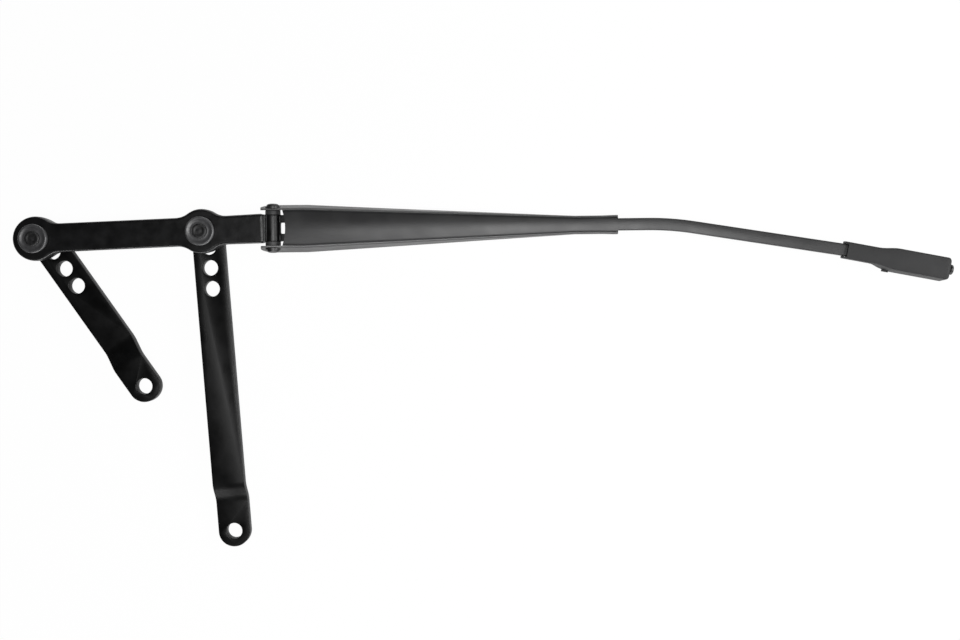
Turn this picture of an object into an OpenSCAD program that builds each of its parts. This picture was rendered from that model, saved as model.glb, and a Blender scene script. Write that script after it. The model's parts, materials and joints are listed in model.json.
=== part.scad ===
// Pantograph wiper arm for a truck or bus windscreen.
// Origin: lower face of the long crank, at the centre of its mounting bore. +Z is the axis of that bore,
// +X runs towards the blade end and +Y towards the link head. Millimetres.

/* [Link head] */
// Distance between the two crank pivots
link_pitch = 130; // [110:1:160]
// Direction of the link head, degrees from +X
link_dir = 2.6; // [0:0.1:6]
// Distance from the inner pivot to the fold hinge
hinge_reach = 54.5; // [50:0.5:70]
// Outer radius of each pivot boss
boss_r = 17.4; // [16:0.1:20]
// Height of the pivot bosses
boss_h = 12.6; // [11:0.1:16]
// Half width of the bar between the bosses
bar_half = 11.2; // [9:0.1:13]
// Thickness of the bar between the bosses
bar_t = 11; // [8:0.1:11]
// Radius of the fillets between bosses and bar
bar_fillet = 17; // [10:0.5:24]
// Width of the rounded edge round the top face
edge_r = 1.9; // [1:0.1:2.5]
// Draft of the cast sides at the lower face
side_draft = 0.7; // [0.3:0.1:1.2]

/* [Cranks] */
// Pivot to mounting bore of the long crank
long_len = 240; // [210:1:280]
// Direction of the long crank, degrees from +X
long_dir = -85.2; // [-90:0.1:-80]
// Pivot to mounting bore of the short crank
short_len = 142.5; // [120:0.5:145]
// Direction of the short crank, degrees from +X
short_dir = -54.6; // [-70:0.1:-50]
// Width of both cranks
crank_w = 25; // [22:0.5:28]
// Thickness of both cranks
crank_t = 6; // [5:0.1:8]
// Step down to the mounting end of the long crank
long_drop = 5; // [2:0.5:8]
// Step up to the mounting end of the short crank
short_rise = 6; // [2:0.5:8]
// Mounting bore to the start of the long crank's step
long_step_back = 37; // [30:0.5:50]
// Mounting bore to the start of the short crank's step
short_step_back = 38.5; // [30:0.5:50]
// Length of the long crank's sloping stretch
long_slope = 11; // [8:0.5:16]
// Length of the short crank's sloping stretch
short_slope = 15; // [10:0.5:18]
// Diameter of the mounting bores and of the row of holes
hole_d = 12.5; // [10:0.1:13.5]
// Pitch of the row of holes
hole_pitch = 16.7; // [15.5:0.1:19]
// Pivot to the first hole of the row
hole_first = 12.1; // [11.9:0.1:13]
// Number of holes in the row
hole_count = 3; // [1:1:4]

/* [Pivots] */
// Diameter of the pivot pins in their bushes
pin_d = 10; // [8:0.1:11]
// Diameter of the pin where it is riveted into the crank
pin_foot_d = 9; // [7:0.1:9.4]
// Diameter of the riveted head under the crank
foot_head_d = 11.6; // [10.2:0.1:13]
// Height of the riveted head under the crank
foot_head_h = 1.8; // [1:0.1:2.5]
// Outer diameter of the flanged bushes
bush_d = 13; // [12.5:0.1:15]
// Diameter of the bush flanges
flange_d = 21.5; // [18:0.1:25]
// Thickness of the bush flanges
flange_t = 1.3; // [0.8:0.1:2]
// Gap between the ends of the two bushes in one boss
bush_gap = 1.4; // [0.5:0.1:3]
// Running clearance of each pin in its bush, on the radius
run_clear = 0.05; // [0.02:0.01:0.08]
// Clearance between faces that turn on each other
face_clear = 0.1; // [0.05:0.01:0.2]
// Diameter of the dished washer on each pivot
washer_d = 22.6; // [20:0.1:26]
// Thickness of the dished washer
washer_t = 1.4; // [1:0.1:2]
// Height of the washer's raised rim
washer_rim = 0.7; // [0.3:0.1:1]
// Diameter of the pin's spigot through the washer
spigot_d = 8; // [6:0.1:8.5]
// Diameter of the riveted end over the washer
rivet_end_d = 11.6; // [10:0.1:13]
// Height of the riveted end over the washer
rivet_end_h = 1.3; // [0.8:0.1:1.6]

/* [Fold hinge] */
// Height of the hinge axis below the top of the link head
hinge_drop = 7.5; // [7:0.1:8.5]
// Direction of the arm, degrees from +X
arm_dir = 0.65; // [-1:0.05:3]
// Outer radius of the barrel
barrel_r = 6.2; // [5.8:0.1:6.5]
// Half length of the barrel
barrel_half = 10.65; // [10:0.05:11.5]
// Diameter of the hinge rivet
hinge_d = 7; // [6:0.1:7.4]
// Diameter of the rivet heads
hinge_head_d = 9.6; // [9:0.1:11]
// Height of the rivet heads
hinge_head_h = 2.5; // [1.5:0.1:2.8]
// Outer diameter of the hinge bushes in the barrel
hinge_bush_d = 9.4; // [8.6:0.1:9.8]
// Flange diameter of the hinge bushes
hinge_flange_d = 11.7; // [11:0.1:12]
// Flange thickness of the hinge bushes
hinge_flange_t = 3.2; // [2.8:0.05:3.25]
// Length of each hinge bush inside the barrel
hinge_bush_l = 9; // [6:0.1:9.4]
// Reach of the two spring lugs from the hinge axis to the spring pin
lug_reach = 13.5; // [12:0.1:16]
// Inner face of each spring lug from the arm's middle
lug_in = 4.4; // [4:0.1:5]
// Outer face of each spring lug from the arm's middle
lug_out = 10.3; // [9:0.1:10.6]
// Radius of the rounded end of each spring lug
lug_r = 4.6; // [4:0.1:5]
// Depth of the spring pin below the hinge axis
spring_drop = 2; // [1.5:0.1:2.5]
// Diameter of the spring pin
spring_pin_d = 5; // [4:0.1:5.4]

/* [Arm channel] */
// Hinge axis to the far end of the channel
channel_len = 271.5; // [250:0.5:300]
// Half width over the side walls at the hinge
root_half = 18.9; // [18.5:0.1:19.4]
// Half width of the far end round the rod
end_half = 7.3; // [7:0.1:8]
// Flare of each side wall at the hinge
root_flare = 3.3; // [2.5:0.1:3.6]
// Hinge axis to where the channel starts to taper
taper_from = 25; // [15:1:35]
// Length of the parallel stretch crimped round the rod
crimp_len = 34; // [25:1:45]
// Sheet thickness
sheet_t = 1.6; // [1.4:0.05:1.8]
// Radius of the ears round the hinge rivet, and half the height of the channel there
ear_r = 9.5; // [9:0.1:10.5]
// Rounded shoulder along the top at the hinge
root_shoulder = 4.2; // [3.5:0.1:5]
// Rounded shoulder along the top at the far end
end_shoulder = 3; // [2:0.1:3.2]
// Crown of the top face
crown = 0.6; // [0.2:0.1:1.2]
// Distance over which the side walls keep their full depth
full_depth = 60; // [40:1:90]
// Hinge axis to the cut end of the top face, on the middle
web_start = 11.9; // [10.5:0.1:13]
// Radius of the hollow cut end of the top face
web_cut_r = 40; // [30:1:60]
// Extra half width of the lip at the far end
lip = 0.3; // [0.1:0.1:0.5]

/* [Rod] */
// Width of the flat rod
rod_w = 9.7; // [8:0.1:9.8]
// Thickness of the flat rod
rod_t = 4; // [3:0.1:4.2]
// Radius of the rod's long edges
rod_edge = 0.9; // [0.5:0.1:1.2]
// Hinge axis to the start of the rod's bend
bend_start = 295; // [285:1:330]
// Radius of the bend, on the rod's middle
bend_r = 225; // [150:1:300]
// Angle of the bend
bend_angle = 9.2; // [5:0.1:15]
// Straight length after the bend, up to the mouth of the tip cover
rod_straight = 119.5; // [90:0.5:160]
// Length of rod inside the tip cover
rod_in_tip = 21; // [19:0.5:23]
// Diameter of the two rivets through the rod
rivet_d = 4; // [3:0.1:5]

/* [Springs] */
// Outer diameter of the two arm springs
spring_d = 8.4; // [7:0.1:8.6]
// Wire diameter of the arm springs
spring_wire = 1.6; // [1.2:0.1:1.8]
// Distance of each spring from the arm's middle
spring_off = 4.5; // [4.4:0.05:4.7]
// Far end of the channel back to the cross pin of the spring anchor
anchor_back = 115.5; // [110:0.5:125]
// Clearance of each spring eye round its pin
eye_clear = 0.3; // [0.2:0.05:0.4]
// Pitch of the coils of the arm springs
coil_pitch = 1.85; // [1.7:0.01:2.2]

/* [Tip] */
// Length of the tip cover
tip_len = 84.3; // [78:0.1:95]
// Skew of the cover against the end of the rod, degrees
tip_skew = 1.9; // [0:0.1:3]
// Half width of the neck
neck_half = 6.7; // [6.5:0.1:7.2]
// Half width of the wide part
hood_half = 8.8; // [8.5:0.1:10]
// Length of the wide part
hood_len = 41.3; // [38:0.1:46]
// Length over which the neck widens into it
widen_len = 16.5; // [12:0.5:20]
// Height of the cover above the middle of the rod
tip_top = 4.2; // [3.8:0.1:5]
// Depth of the neck below the middle of the rod
neck_deep = 3.8; // [3.5:0.1:5]
// Depth of the hood below the middle of the rod
hood_deep = 9; // [8:0.1:12]
// Wall of the tip cover
tip_wall = 1.4; // [1.2:0.1:1.6]
// Flare of the hood's side on the crank side
hood_flare = 1.3; // [0.5:0.1:2]
// Wall at the end of the hood, round the button
end_wall = 3; // [2:0.1:4]
// Rounded corners at the end of the hood
tip_corner = 2.6; // [1.5:0.1:4]
// Diameter of the release button's head
button_d = 8.2; // [7:0.1:9]
// Diameter of its neck
button_neck_d = 5.4; // [4:0.1:6]
// Depth of the button's axis below the middle of the rod
button_drop = 2; // [1.5:0.1:3]
// Thickness of its head
button_head = 2.1; // [1.5:0.1:3]
// Gap under the head, which is the button's travel and a little more
button_gap = 1.5; // [1.2:0.1:2.5]
// End of the cover back to the cross pin for the blade
blade_back = 27.3; // [25:0.1:29]
// Depth of that cross pin below the middle of the rod
blade_pin_deep = 4; // [3:0.1:5]
// Diameter of that cross pin
blade_pin_d = 4; // [3:0.1:5]

/* [Hidden] */
$fn = 48;
hair = 0.02;
edge_slant = 0.15;
reach = 60;

// Heights of the stack, from the lower face of the long crank's mounting end
crank_z = long_drop;
crank_top = crank_z + crank_t;
boss_bottom = crank_top + face_clear + flange_t;
boss_top = boss_bottom + boss_h;
bar_bottom = boss_top - bar_t;
washer_z = boss_top + flange_t + face_clear;
pin_top = washer_z + washer_t;
hinge_z = boss_top - hinge_drop;

// Places in the plan
function heading(a) = [cos(a), sin(a)];
pivot_b = -long_len * heading(long_dir);
pivot_a = pivot_b - link_pitch * heading(link_dir);
hinge_c = pivot_b + hinge_reach * heading(link_dir);
hinge_x = link_pitch + hinge_reach;

// Flanks of the link head
bush_l = (boss_h - bush_gap) / 2;
fillet_x = sqrt(pow(boss_r + bar_fillet, 2) - pow(bar_half + bar_fillet, 2));
fillet_a = atan2(bar_half + bar_fillet, fillet_x);
nose_half = barrel_half + 0.9;
nose_x = hinge_x - barrel_r - 1;
nose_back = hinge_flange_d / 2 + 0.9;

// Arm channel, from the hinge axis
taper_end = channel_len - crimp_len;
web_end_top = rod_t / 2 + face_clear + sheet_t;
rod_seat = 0;
wall_end_bottom = -rod_t / 2 - face_clear - sheet_t;
ear_outer = root_half - root_flare / 2;
rivet_seat = ear_outer - 0.35;
ear_face = root_half - root_flare - sheet_t + face_clear;
web_inner = root_half - root_flare - sheet_t;

// Rod, cover and button
bend_end = [bend_start + bend_r * sin(bend_angle), -bend_r * (1 - cos(bend_angle))];
mouth = bend_end + rod_straight * heading(-bend_angle);
tip_dir = -bend_angle - tip_skew;
hood_floor = tip_top - tip_wall;
widen_to = tip_len - hood_len;
widen_from = widen_to - widen_len;
blade_pin_at = tip_len - blade_back;
button_foot = tip_len - end_wall - 0.3;
collar_t = 1.4;
guide_d = 2.8;
tip_rivet_at = rod_in_tip - 8;
spine_from = 3.2;
spine_base = 1.4;
spine_plate = 1.1;
stop_v = blade_pin_at + 8;
stop_t = 3.4;
spring_seat = stop_v + stop_t;
button_top = tip_len + button_gap;

// Spring eyes and bodies
eye_r = spring_pin_d / 2 + eye_clear + spring_wire / 2;
eye_off = spring_off - (spring_d - spring_wire) / 2;
anchor_reach = channel_len - anchor_back;
anchor_len = 24;
anchor_far = anchor_reach + anchor_len;
rod_start = anchor_reach + 8;
anchor_half = wall_half(anchor_far) - flare(anchor_far) - sheet_t - 0.3;
anchor_ear = 2.6;
anchor_r = 4;
anchor_base = 2.6;
clevis_depth = 6.5;
rivet_back = 6;
coil_from = lug_reach + lug_r + 0.5;
coil_to = anchor_reach - anchor_r - 0.5;
coil_gaps = round((coil_to - coil_from - spring_wire) / coil_pitch);

function arc(c, r, a0, a1, n) = [
    for (i = [0:n]) c + r * heading(a0 + (a1 - a0) * i / n)
];
function ease(x) = x <= 0 ? 0 : x >= 1 ? 1 : x * x * (3 - 2 * x);
function mix(a, b, x) = a + (b - a) * min(1, max(0, x));

module long_frame() translate([pivot_b.x, pivot_b.y, 0]) rotate(long_dir) children();
module short_frame() translate([pivot_a.x, pivot_a.y, 0]) rotate(short_dir) children();
module link_frame() translate([pivot_a.x, pivot_a.y, 0]) rotate(link_dir) children();
module arm_frame() translate([hinge_c.x, hinge_c.y, hinge_z]) rotate(arm_dir) children();
module rod_end_frame() arm_frame() translate([mouth.x, mouth.y, rod_seat]) rotate(-bend_angle) children();
module tip_frame() arm_frame() translate([mouth.x, mouth.y, rod_seat]) rotate(tip_dir) children();

// A solid of revolution about X or Y: the profile is [distance along the axis, radius]
module turned(axis, profile) {
    flipped = [for (p = profile) [p[1], p[0]]];
    rotate(axis == "x" ? [0, 90, 0] : axis == "y" ? [-90, 0, 0] : [0, 0, 0])
        rotate_extrude() polygon(flipped);
}
module cross_cyl(x, z, d, from, to)
    translate([x, from, z]) rotate([-90, 0, 0]) cylinder(h = to - from, d = d);

// A loft through closed rings of equally many points. The ends of a U-shaped section are capped as a strip,
// in which each point of the outer line pairs with one of the inner line
module loft(rings, strip = false) {
    n = len(rings[0]);
    m = len(rings);
    points = [for (ring = rings) each ring];
    sides = [
        for (k = [0:m - 2], i = [0:n - 1])
            each [
                [k * n + i, (k + 1) * n + i, (k + 1) * n + (i + 1) % n],
                [k * n + i, (k + 1) * n + (i + 1) % n, k * n + (i + 1) % n]
            ]
    ];
    far = (m - 1) * n;
    whole = [[for (i = [0:n - 1]) i], [for (i = [n - 1:-1:0]) far + i]];
    quads = [
        for (i = [0:n / 2 - 2])
            each [
                [i, i + 1, n - 2 - i, n - 1 - i],
                [far + n - 1 - i, far + n - 2 - i, far + i + 1, far + i]
            ]
    ];
    polyhedron(points, concat(sides, strip ? quads : whole), convexity = 6);
}

// Cranks: a flat bar with round ends and a step before the mounting end
module crank_plan(length) {
    translate([0, -crank_w / 2]) square([length, crank_w]);
    circle(d = crank_w, $fn = 96);
    translate([length, 0]) circle(d = crank_w, $fn = 96);
}
module crank_side(length, step, from, slope) {
    z0 = crank_z;
    z1 = crank_z + crank_t;
    rotate([90, 0, 0])
        linear_extrude(height = crank_w + 4, center = true)
            polygon([
                [-crank_w, z0], [from, z0], [from + slope, z0 + step], [length + crank_w, z0 + step],
                [length + crank_w, z1 + step], [from + slope, z1 + step], [from, z1], [-crank_w, z1]
            ]);
}
module crank(length, step, from, slope) {
    difference() {
        intersection() {
            translate([0, 0, crank_z - reach / 2]) linear_extrude(height = reach) crank_plan(length);
            crank_side(length, step, from, slope);
        }
        translate([0, 0, -reach]) cylinder(h = 2 * reach, d = pin_foot_d);
        translate([length, 0, -reach]) cylinder(h = 2 * reach, d = hole_d);
        for (i = [0:hole_count - 1])
            translate([hole_first + i * hole_pitch, 0, -reach]) cylinder(h = 2 * reach, d = hole_d);
    }
}
module long_crank()
    color("#1d1d1f") long_frame()
        crank(long_len, -long_drop, long_len - long_step_back, long_slope);
module short_crank()
    color("#1d1d1f") short_frame()
        crank(short_len, short_rise, short_len - short_step_back, short_slope);

// Pivot pins: a head under the crank, a shank in the bushes, a spigot riveted over the washer
module pivot_pin() {
    rotate_extrude() polygon([
        [0, crank_z - foot_head_h], [foot_head_d / 2 - 1, crank_z - foot_head_h],
        [foot_head_d / 2, crank_z - foot_head_h + 0.8], [foot_head_d / 2, crank_z],
        [pin_foot_d / 2, crank_z], [pin_foot_d / 2, crank_top], [pin_d / 2, crank_top],
        [pin_d / 2, washer_z], [spigot_d / 2, washer_z], [spigot_d / 2, pin_top],
        [rivet_end_d / 2, pin_top], [rivet_end_d / 2, pin_top + rivet_end_h * 0.5],
        [rivet_end_d / 2 - 0.5, pin_top + rivet_end_h * 0.85],
        [rivet_end_d / 2 - 1.3, pin_top + rivet_end_h], [rivet_end_d / 2 - 3, pin_top + rivet_end_h],
        [1.6, pin_top + rivet_end_h * 0.8], [0, pin_top + rivet_end_h * 0.7]
    ]);
}
module long_pivot_pin() color("#2a2a2c") long_frame() pivot_pin();
module short_pivot_pin() color("#2a2a2c") short_frame() pivot_pin();

// Dished washers with a rolled rim
module pivot_washer() {
    r = washer_d / 2;
    dish = (r - rivet_end_d / 2 - 0.8) / 2;
    rim = arc([r - dish, washer_t - 0.2], dish, 0, 180, 10);
    translate([0, 0, washer_z]) rotate_extrude() polygon(concat(
        [[spigot_d / 2, 0], [r - 0.5, 0], [r, 0.5]],
        [for (p = rim) [p.x, washer_t - 0.2 + (p.y - washer_t + 0.2) * (washer_rim + 0.2) / dish]],
        [[rivet_end_d / 2 + 0.6, washer_t], [spigot_d / 2, washer_t]]
    ));
}
module long_pivot_washer() color("#55565a") long_frame() pivot_washer();
module short_pivot_washer() color("#55565a") short_frame() pivot_washer();

// Flanged bushes pressed into the bosses from above and below
module flanged_bush(z, way) {
    bore = pin_d / 2 + run_clear;
    translate([0, 0, z]) mirror([0, 0, way < 0 ? 1 : 0]) rotate_extrude() polygon([
        [bore, -bush_l], [bush_d / 2, -bush_l], [bush_d / 2, 0], [flange_d / 2, 0],
        [flange_d / 2, flange_t - 0.3], [flange_d / 2 - 0.3, flange_t], [bore, flange_t]
    ]);
}
module long_upper_bush() color("#3c3c3e") long_frame() flanged_bush(boss_top, 1);
module long_lower_bush() color("#3c3c3e") long_frame() flanged_bush(boss_bottom, -1);
module short_upper_bush() color("#3c3c3e") short_frame() flanged_bush(boss_top, 1);
module short_lower_bush() color("#3c3c3e") short_frame() flanged_bush(boss_bottom, -1);

// Link head: two bosses and a bar cast as one, its outline drawn in by d all round
function link_outline(d) = let (
    t = fillet_a,
    w = bar_half + bar_fillet,
    f = bar_fillet + d,
    r = boss_r - d,
    b = link_pitch
) concat(
    [[nose_x, nose_half - d]],
    arc([b + fillet_x, w], f, 270, 180 + t, 8), arc([b, 0], r, t, 180 - t, 12),
    arc([b - fillet_x, w], f, 360 - t, 270, 8), arc([fillet_x, w], f, 270, 180 + t, 8),
    arc([0, 0], r, t, 360 - t, 40),
    arc([fillet_x, -w], f, 180 - t, 90, 8), arc([b - fillet_x, -w], f, 90, t, 8),
    arc([b, 0], r, 180 + t, 360 - t, 12), arc([b + fillet_x, -w], f, 180 - t, 90, 8),
    [[nose_x, -nose_half + d]]
);
trim = 0.2;
top_slope = cos(75) / (1 - sin(75));
link_levels = concat(
    [
        [boss_bottom - trim, side_draft + 0.6 + trim], [boss_bottom + 0.6, side_draft],
        [(boss_bottom + boss_top) / 2, 0]
    ],
    [for (a = [0:15:75]) [boss_top - edge_r * (1 - sin(a)), edge_r * (1 - cos(a))]],
    [[boss_top + trim, edge_r + trim * top_slope]]
);
module link_body() difference() {
    loft([for (level = link_levels) [for (p = link_outline(level[1])) [p.x, p.y, level[0]]]]);
    // Trimmed flat, so that each of the two faces is one plane
    translate([-reach, -reach, boss_top]) cube([hinge_x + 2 * reach, 2 * reach, reach]);
    translate([-reach, -reach, boss_bottom - reach]) cube([hinge_x + 2 * reach, 2 * reach, reach]);
}
module bar_undercut(from, to) {
    z0 = boss_bottom - 2;
    translate([from, -reach / 2, z0]) cube([to - from, reach, bar_bottom - z0]);
}
module hinge_nose() {
    // Wedge from the bar down to the barrel
    rotate([90, 0, 0]) linear_extrude(height = 2 * barrel_half, center = true) polygon([
        [-nose_back - 5, bar_bottom - hinge_z], [-nose_back, bar_bottom - hinge_z - 0.4],
        [-1, -barrel_r + 0.3], [0, -1], [0, 1], [-1, barrel_r - 0.2],
        [-nose_back, hinge_drop - 0.5], [-nose_back - 5, hinge_drop - edge_r]
    ]);
    cross_cyl(0, 0, 2 * barrel_r, -barrel_half, barrel_half);
    for (side = [-1, 1])
        translate([0, side * (lug_in + lug_out) / 2, 0]) rotate([90, 0, 0])
            linear_extrude(height = lug_out - lug_in, center = true) polygon(concat(
                arc([lug_reach, -spring_drop], lug_r, -90, 90, 12),
                [[2, lug_r - spring_drop], [2, -barrel_r + 0.6]]
            ));
}
module link_head() color("#202022") difference() {
    union() {
        difference() {
            link_frame() link_body();
            link_frame() bar_undercut(boss_r - 1, link_pitch - boss_r + 1);
            link_frame() bar_undercut(link_pitch + boss_r - 1, hinge_x + reach);
        }
        arm_frame() hinge_nose();
    }
    for (x = [0, link_pitch])
        link_frame() translate([x, 0, -reach]) cylinder(h = 2 * reach + boss_top, d = bush_d);
    arm_frame() cross_cyl(0, 0, hinge_bush_d, -reach / 2, reach / 2);
    arm_frame() cross_cyl(lug_reach, -spring_drop, spring_pin_d, -lug_out - 1, lug_out + 1);
}

// Hinge rivet and its two flanged bushes
module hinge_rivet() {
    r = hinge_d / 2;
    head = hinge_head_d / 2;
    color("#343436") arm_frame() turned("y", [
        [-rivet_seat - hinge_head_h, 0], [-rivet_seat - hinge_head_h, head - 2.4],
        [-rivet_seat - hinge_head_h * 0.7, head - 0.8], [-rivet_seat - hinge_head_h * 0.3, head],
        [-rivet_seat, head], [-rivet_seat, r], [rivet_seat, r], [rivet_seat, head],
        [rivet_seat + hinge_head_h * 0.3, head], [rivet_seat + hinge_head_h * 0.7, head - 0.8],
        [rivet_seat + hinge_head_h, head - 2.4], [rivet_seat + hinge_head_h, 0]
    ]);
}
module hinge_bush(side) {
    r = hinge_d / 2 + run_clear;
    out = barrel_half + hinge_flange_t;
    color("#77787b") arm_frame() mirror([0, side < 0 ? 1 : 0, 0]) turned("y", [
        [barrel_half - hinge_bush_l, r], [out, r], [out, hinge_flange_d / 2 - 0.4],
        [out - 0.4, hinge_flange_d / 2], [barrel_half, hinge_flange_d / 2], [barrel_half, hinge_bush_d / 2],
        [barrel_half - hinge_bush_l, hinge_bush_d / 2]
    ]);
}
module hinge_upper_bush() hinge_bush(1);
module hinge_lower_bush() hinge_bush(-1);
module spring_pin()
    color("#8a8b8f") arm_frame() translate([lug_reach, 0, -spring_drop])
        turned("y", [
            [-lug_out, 0], [-lug_out, spring_pin_d / 2 - 0.4], [-lug_out + 0.4, spring_pin_d / 2],
            [lug_out - 0.4, spring_pin_d / 2], [lug_out, spring_pin_d / 2 - 0.4], [lug_out, 0]
        ]);

// Arm channel: a pressed U that tapers to the rod, flared at the hinge
function wall_half(u) = u < taper_end
    ? mix(root_half, end_half, (u - taper_from) / (taper_end - taper_from))
    : end_half + lip * ease((u - channel_len + 14) / 12);
function flare(u) = mix(root_flare, 0.15, u / taper_end);
function top_z(u) = mix(ear_r, web_end_top, u / taper_end);
function bottom_z(u) = mix(-ear_r, wall_end_bottom, ease((u - full_depth) / (taper_end - full_depth)));
function crown_at(u) = mix(crown, 0.05, u / taper_end);
function shoulder(u) = mix(root_shoulder, end_shoulder, u / taper_end);
function shell_half(u, inset) = let (
    w = wall_half(u) - inset,
    s = w - flare(u),
    r = shoulder(u) - inset,
    z = top_z(u) - inset,
    c = crown_at(u)
) concat(
    [[w, bottom_z(u) + inset * edge_slant]],
    [for (a = [0:15:75]) [s - r + r * cos(a), z - c - r * (1 - sin(a))]],
    [[s - r, z - c]],
    [[(s - r) / 2, z - c / 4]]
);
function mirrored(half) = [for (i = [len(half) - 1:-1:0]) [-half[i][0], half[i][1]]];
function channel_ring(u) = let (
    outer = shell_half(u, 0),
    inner = shell_half(u, sheet_t),
    loop = concat(
        outer, [[0, top_z(u)]], mirrored(outer),
        [for (p = concat(inner, [[0, top_z(u) - sheet_t]], mirrored(inner))) [-p[0], p[1]]]
    )
) [for (p = loop) [u, p[0], p[1]]];
channel_stations = concat(
    [-ear_r - 1, 0, 12.5],
    [for (i = [0:12]) taper_from + (taper_end - taper_from) * i / 12],
    [for (k = [1:3]) taper_end + (crimp_len - 14) * k / 3],
    [channel_len - 10, channel_len - 6, channel_len - 2, channel_len]
);
module ear_corners() {
    // What lies outside the round ends of the ears
    difference() {
        translate([-ear_r - 3, -reach / 2, -ear_r - 3]) cube([ear_r + 3, reach, 2 * ear_r + 6]);
        cross_cyl(0, 0, 2 * ear_r, -reach, reach);
    }
}
module ear_pads() {
    // The ears are pressed flat round the rivet
    for (side = [-1, 1])
        mirror([0, side < 0 ? 1 : 0, 0]) cross_cyl(0, 0, hinge_head_d + 2.4, ear_face, rivet_seat);
}
module web_cut() {
    // The top face stops short of the barrel with a hollow edge
    intersection() {
        translate([web_start - web_cut_r, 0, -reach]) cylinder(h = 2 * reach, r = web_cut_r, $fn = 96);
        translate([-ear_r - 3, -web_inner, -reach]) cube([ear_r + web_start + 4, 2 * web_inner, 2 * reach]);
    }
}
module crimp() {
    // The edges of the sheet folded in under the rod
    from = taper_end + 4;
    for (side = [-1, 1])
        translate([from, side > 0 ? 0.6 : -end_half + sheet_t / 2, wall_end_bottom])
            cube([channel_len - 2 - from, end_half - sheet_t / 2 - 0.6, sheet_t]);
}
module arm_channel() color("#3a3b3d") arm_frame() difference() {
    union() {
        loft([for (u = channel_stations) channel_ring(u)], strip = true);
        ear_pads();
        crimp();
    }
    web_cut();
    ear_corners();
    cross_cyl(0, 0, hinge_d, -reach, reach);
    cross_cyl(0, 0, hinge_head_d + 0.2, rivet_seat, reach);
    cross_cyl(0, 0, hinge_head_d + 0.2, -reach, -rivet_seat);
}

// Flat rod: straight, one bend, straight into the tip cover
rod_profile = [
    for (corner = [[1, -1, -90], [1, 1, 0], [-1, 1, 90], [-1, -1, 180]], a = [0, 30, 60, 90])
        [corner.x * (rod_w / 2 - rod_edge), corner.y * (rod_t / 2 - rod_edge)]
            + rod_edge * heading(corner.z + a)
];
rod_path = concat(
    [[rod_start, 0, 0]],
    [
        for (a = [0:bend_angle / 10:bend_angle + hair])
            [bend_start + bend_r * sin(a), bend_r * (cos(a) - 1), -a]
    ],
    [concat(mouth + rod_in_tip * heading(-bend_angle), [-bend_angle])]
);
module arm_rod() color("#3a3b3d") difference() {
    arm_frame() loft([
        for (s = rod_path) [
            for (q = rod_profile) [s.x - q.x * sin(s.z), s.y + q.x * cos(s.z), rod_seat + q.y]
        ]
    ]);
    arm_frame() translate([rod_start + rivet_back, 0, -reach]) cylinder(h = 2 * reach, d = rivet_d);
    rod_end_frame() translate([tip_rivet_at, 0, -reach]) cylinder(h = 2 * reach, d = rivet_d);
}

// Two tension springs side by side, each with a closed eye at both ends
module arm_spring(side) {
    half = spring_wire / 2;
    r = spring_d / 2 - half;
    pitch = (coil_to - coil_from - spring_wire) / coil_gaps;
    color("#6f7073") arm_frame() translate([0, 0, -spring_drop]) {
        translate([coil_from, side * spring_off, 0]) rotate([0, 90, 0]) rotate_extrude() {
            for (i = [0:coil_gaps])
                translate([r, half + i * pitch]) circle(d = spring_wire, $fn = 16);
            translate([r - spring_wire * 0.3, half])
                square([spring_wire * 0.6, coil_to - coil_from - spring_wire]);
        }
        for (u = [lug_reach, anchor_reach])
            translate([u, side * eye_off, 0]) rotate([90, 0, 0])
                rotate_extrude() translate([eye_r, 0]) circle(d = spring_wire, $fn = 16);
        // Straight ends between the eyes and the coil
        for (span = [[lug_reach + eye_r, coil_from + half], [coil_to - half, anchor_reach - eye_r]])
            translate([span[0], side * eye_off, 0]) rotate([0, 90, 0])
                cylinder(h = span[1] - span[0], d = spring_wire);
    }
}
module upper_spring() arm_spring(1);
module lower_spring() arm_spring(-1);

// Anchor: a saddle under the inner end of the rod, with the cross pin that the springs pull on
module spring_anchor() {
    base = -rod_t / 2 - anchor_base;
    color("#4a4b4e") arm_frame() difference() {
        rotate([90, 0, 0]) linear_extrude(height = 2 * anchor_half, center = true) polygon(concat(
            arc([anchor_reach, -spring_drop], anchor_r, 90, 270, 12),
            [
                [rod_start + 1, base], [anchor_far, base + 1],
                [anchor_far, rod_t / 2], [rod_start, rod_t / 2]
            ]
        ));
        translate([anchor_reach - reach, anchor_ear - anchor_half, -reach])
            cube([reach + clevis_depth, 2 * (anchor_half - anchor_ear), 2 * reach]);
        translate([rod_start - face_clear, -rod_w / 2 - face_clear, -rod_t / 2 - face_clear])
            cube([reach, rod_w + 2 * face_clear, reach]);
        cross_cyl(anchor_reach, -spring_drop, spring_pin_d, -reach, reach);
        translate([rod_start + rivet_back, 0, -reach]) cylinder(h = 2 * reach, d = rivet_d);
    }
}
module anchor_pin()
    color("#8a8b8f") arm_frame()
        cross_cyl(anchor_reach, -spring_drop, spring_pin_d, -anchor_half - 0.4, anchor_half + 0.4);
module flush_rivet(from, to)
    translate([0, 0, from]) cylinder(h = to - from, d = rivet_d);
module anchor_rivet()
    color("#5a5b5e") arm_frame() translate([rod_start + rivet_back, 0, 0])
        flush_rivet(-rod_t / 2 - anchor_base, rod_t / 2 + 0.6);

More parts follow.
